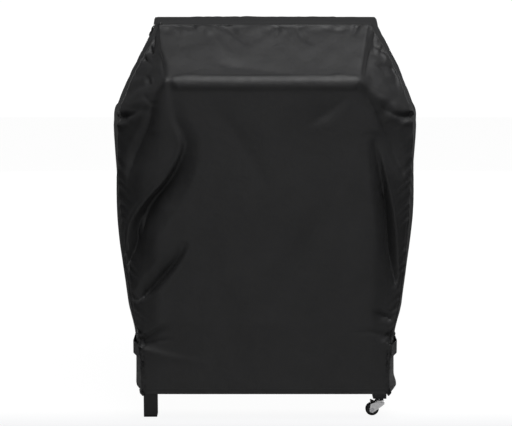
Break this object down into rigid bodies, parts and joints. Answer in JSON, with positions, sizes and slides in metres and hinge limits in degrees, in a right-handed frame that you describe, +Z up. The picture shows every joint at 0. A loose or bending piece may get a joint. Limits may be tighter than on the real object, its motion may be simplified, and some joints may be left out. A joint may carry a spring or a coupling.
{
  "type": "grill cover on a cart",
  "caption": "Tailored black cloth cover drawn down over a grill cart, cinched at the sides, with a square foot and a swivel caster showing below its hem.",
  "frame": {"origin": "on the floor, under the middle of the footprint", "axes": "+Z up, -Y towards the front, +X to the right as seen from the front, where the casters are"},
  "size_m": [0.842, 0.56, 1.095],
  "materials": {
    "cover_cloth": "satin",
    "strap_webbing": "matte",
    "hook_and_loop": "matte",
    "frame_paint": "satin",
    "shelf_paint": "satin",
    "grill_enamel": "gloss",
    "handle_steel": "satin",
    "foot_plastic": "matte",
    "pedal_plastic": "satin",
    "caster_tyre": "satin",
    "hub_plastic": "satin",
    "caster_zinc": "satin",
    "caster_steel": "satin"
  },
  "bodies": {
    "covered_cart": {"back_caster_stem": "caster_steel", "back_panel": "cover_cloth", "back_upper_race": "caster_zinc", "bottom_shelf": "frame_paint", "firebox_back": "grill_enamel", "firebox_ends": "grill_enamel", "firebox_floor": "grill_enamel", "firebox_front": "grill_enamel", "front_caster_stem": "caster_steel", "front_panel": "cover_cloth", "front_upper_race": "caster_zinc", "handle_posts": "handle_steel", "left_back_foot_cap": "foot_plastic", "left_back_leg": "frame_paint", "left_back_strap": "strap_webbing", "left_front_foot_cap": "foot_plastic", "left_front_leg": "frame_paint", "left_loop_patch": "hook_and_loop", "left_side_panel": "cover_cloth", "left_side_shelf": "shelf_paint", "lid_ends": "grill_enamel", "lid_handle": "handle_steel", "lid_skin": "grill_enamel", "lower_cross_rails": "frame_paint", "lower_side_rails": "frame_paint", "right_back_leg": "frame_paint", "right_back_stem_socket": "foot_plastic", "right_back_strap": "strap_webbing", "right_front_leg": "frame_paint", "right_front_stem_socket": "foot_plastic", "right_loop_patch": "hook_and_loop", "right_side_panel": "cover_cloth", "right_side_shelf": "shelf_paint", "shelf_brackets": "frame_paint", "top_panel": "cover_cloth", "upper_cross_rails": "frame_paint", "upper_side_rails": "frame_paint"},
    "right_front_strap": {"right_front_strap": "strap_webbing", "right_hook_patch": "hook_and_loop"},
    "left_front_strap": {"left_front_strap": "strap_webbing", "left_hook_patch": "hook_and_loop"},
    "front_caster_fork": {"front_fork": "caster_zinc", "front_axle": "caster_steel", "front_pedal_pin": "caster_steel", "front_bearing_balls": "caster_steel"},
    "front_caster_wheel": {"front_tyre": "caster_tyre", "front_wheel_hub": "hub_plastic"},
    "front_caster_brake": {"front_brake_pedal": "pedal_plastic"},
    "back_caster_fork": {"back_fork": "caster_zinc", "back_axle": "caster_steel", "back_pedal_pin": "caster_steel", "back_bearing_balls": "caster_steel"},
    "back_caster_wheel": {"back_tyre": "caster_tyre", "back_wheel_hub": "hub_plastic"},
    "back_caster_brake": {"back_brake_pedal": "pedal_plastic"}
  },
  "joints": [
    {"name": "right_strap_peel", "type": "hinge", "parent": "covered_cart", "child": "right_front_strap", "pos_m": [0.3506, -0.277, 0.203], "axis": [0, 0, -1], "range_deg": [0, 120]},
    {"name": "left_strap_peel", "type": "hinge", "parent": "covered_cart", "child": "left_front_strap", "pos_m": [-0.3506, -0.277, 0.203], "axis": [0, 0, 1], "range_deg": [0, 120]},
    {"name": "front_caster_swivel", "type": "hinge", "parent": "covered_cart", "child": "front_caster_fork", "pos_m": [0.324, -0.216, 0.041], "axis": [0, 0, 1], "continuous": true},
    {"name": "front_wheel_roll", "type": "hinge", "parent": "front_caster_fork", "child": "front_caster_wheel", "pos_m": [0.304, -0.216, 0.019], "axis": [0, 1, 0], "continuous": true},
    {"name": "front_brake_press", "type": "hinge", "parent": "front_caster_fork", "child": "front_caster_brake", "pos_m": [0.314, -0.216, 0.038], "axis": [0, -1, 0], "range_deg": [0, 10]},
    {"name": "back_caster_swivel", "type": "hinge", "parent": "covered_cart", "child": "back_caster_fork", "pos_m": [0.324, 0.216, 0.041], "axis": [0, 0, 1], "continuous": true},
    {"name": "back_wheel_roll", "type": "hinge", "parent": "back_caster_fork", "child": "back_caster_wheel", "pos_m": [0.304, 0.216, 0.019], "axis": [0, 1, 0], "continuous": true},
    {"name": "back_brake_press", "type": "hinge", "parent": "back_caster_fork", "child": "back_caster_brake", "pos_m": [0.314, 0.216, 0.038], "axis": [0, -1, 0], "range_deg": [0, 10]}
  ]
}
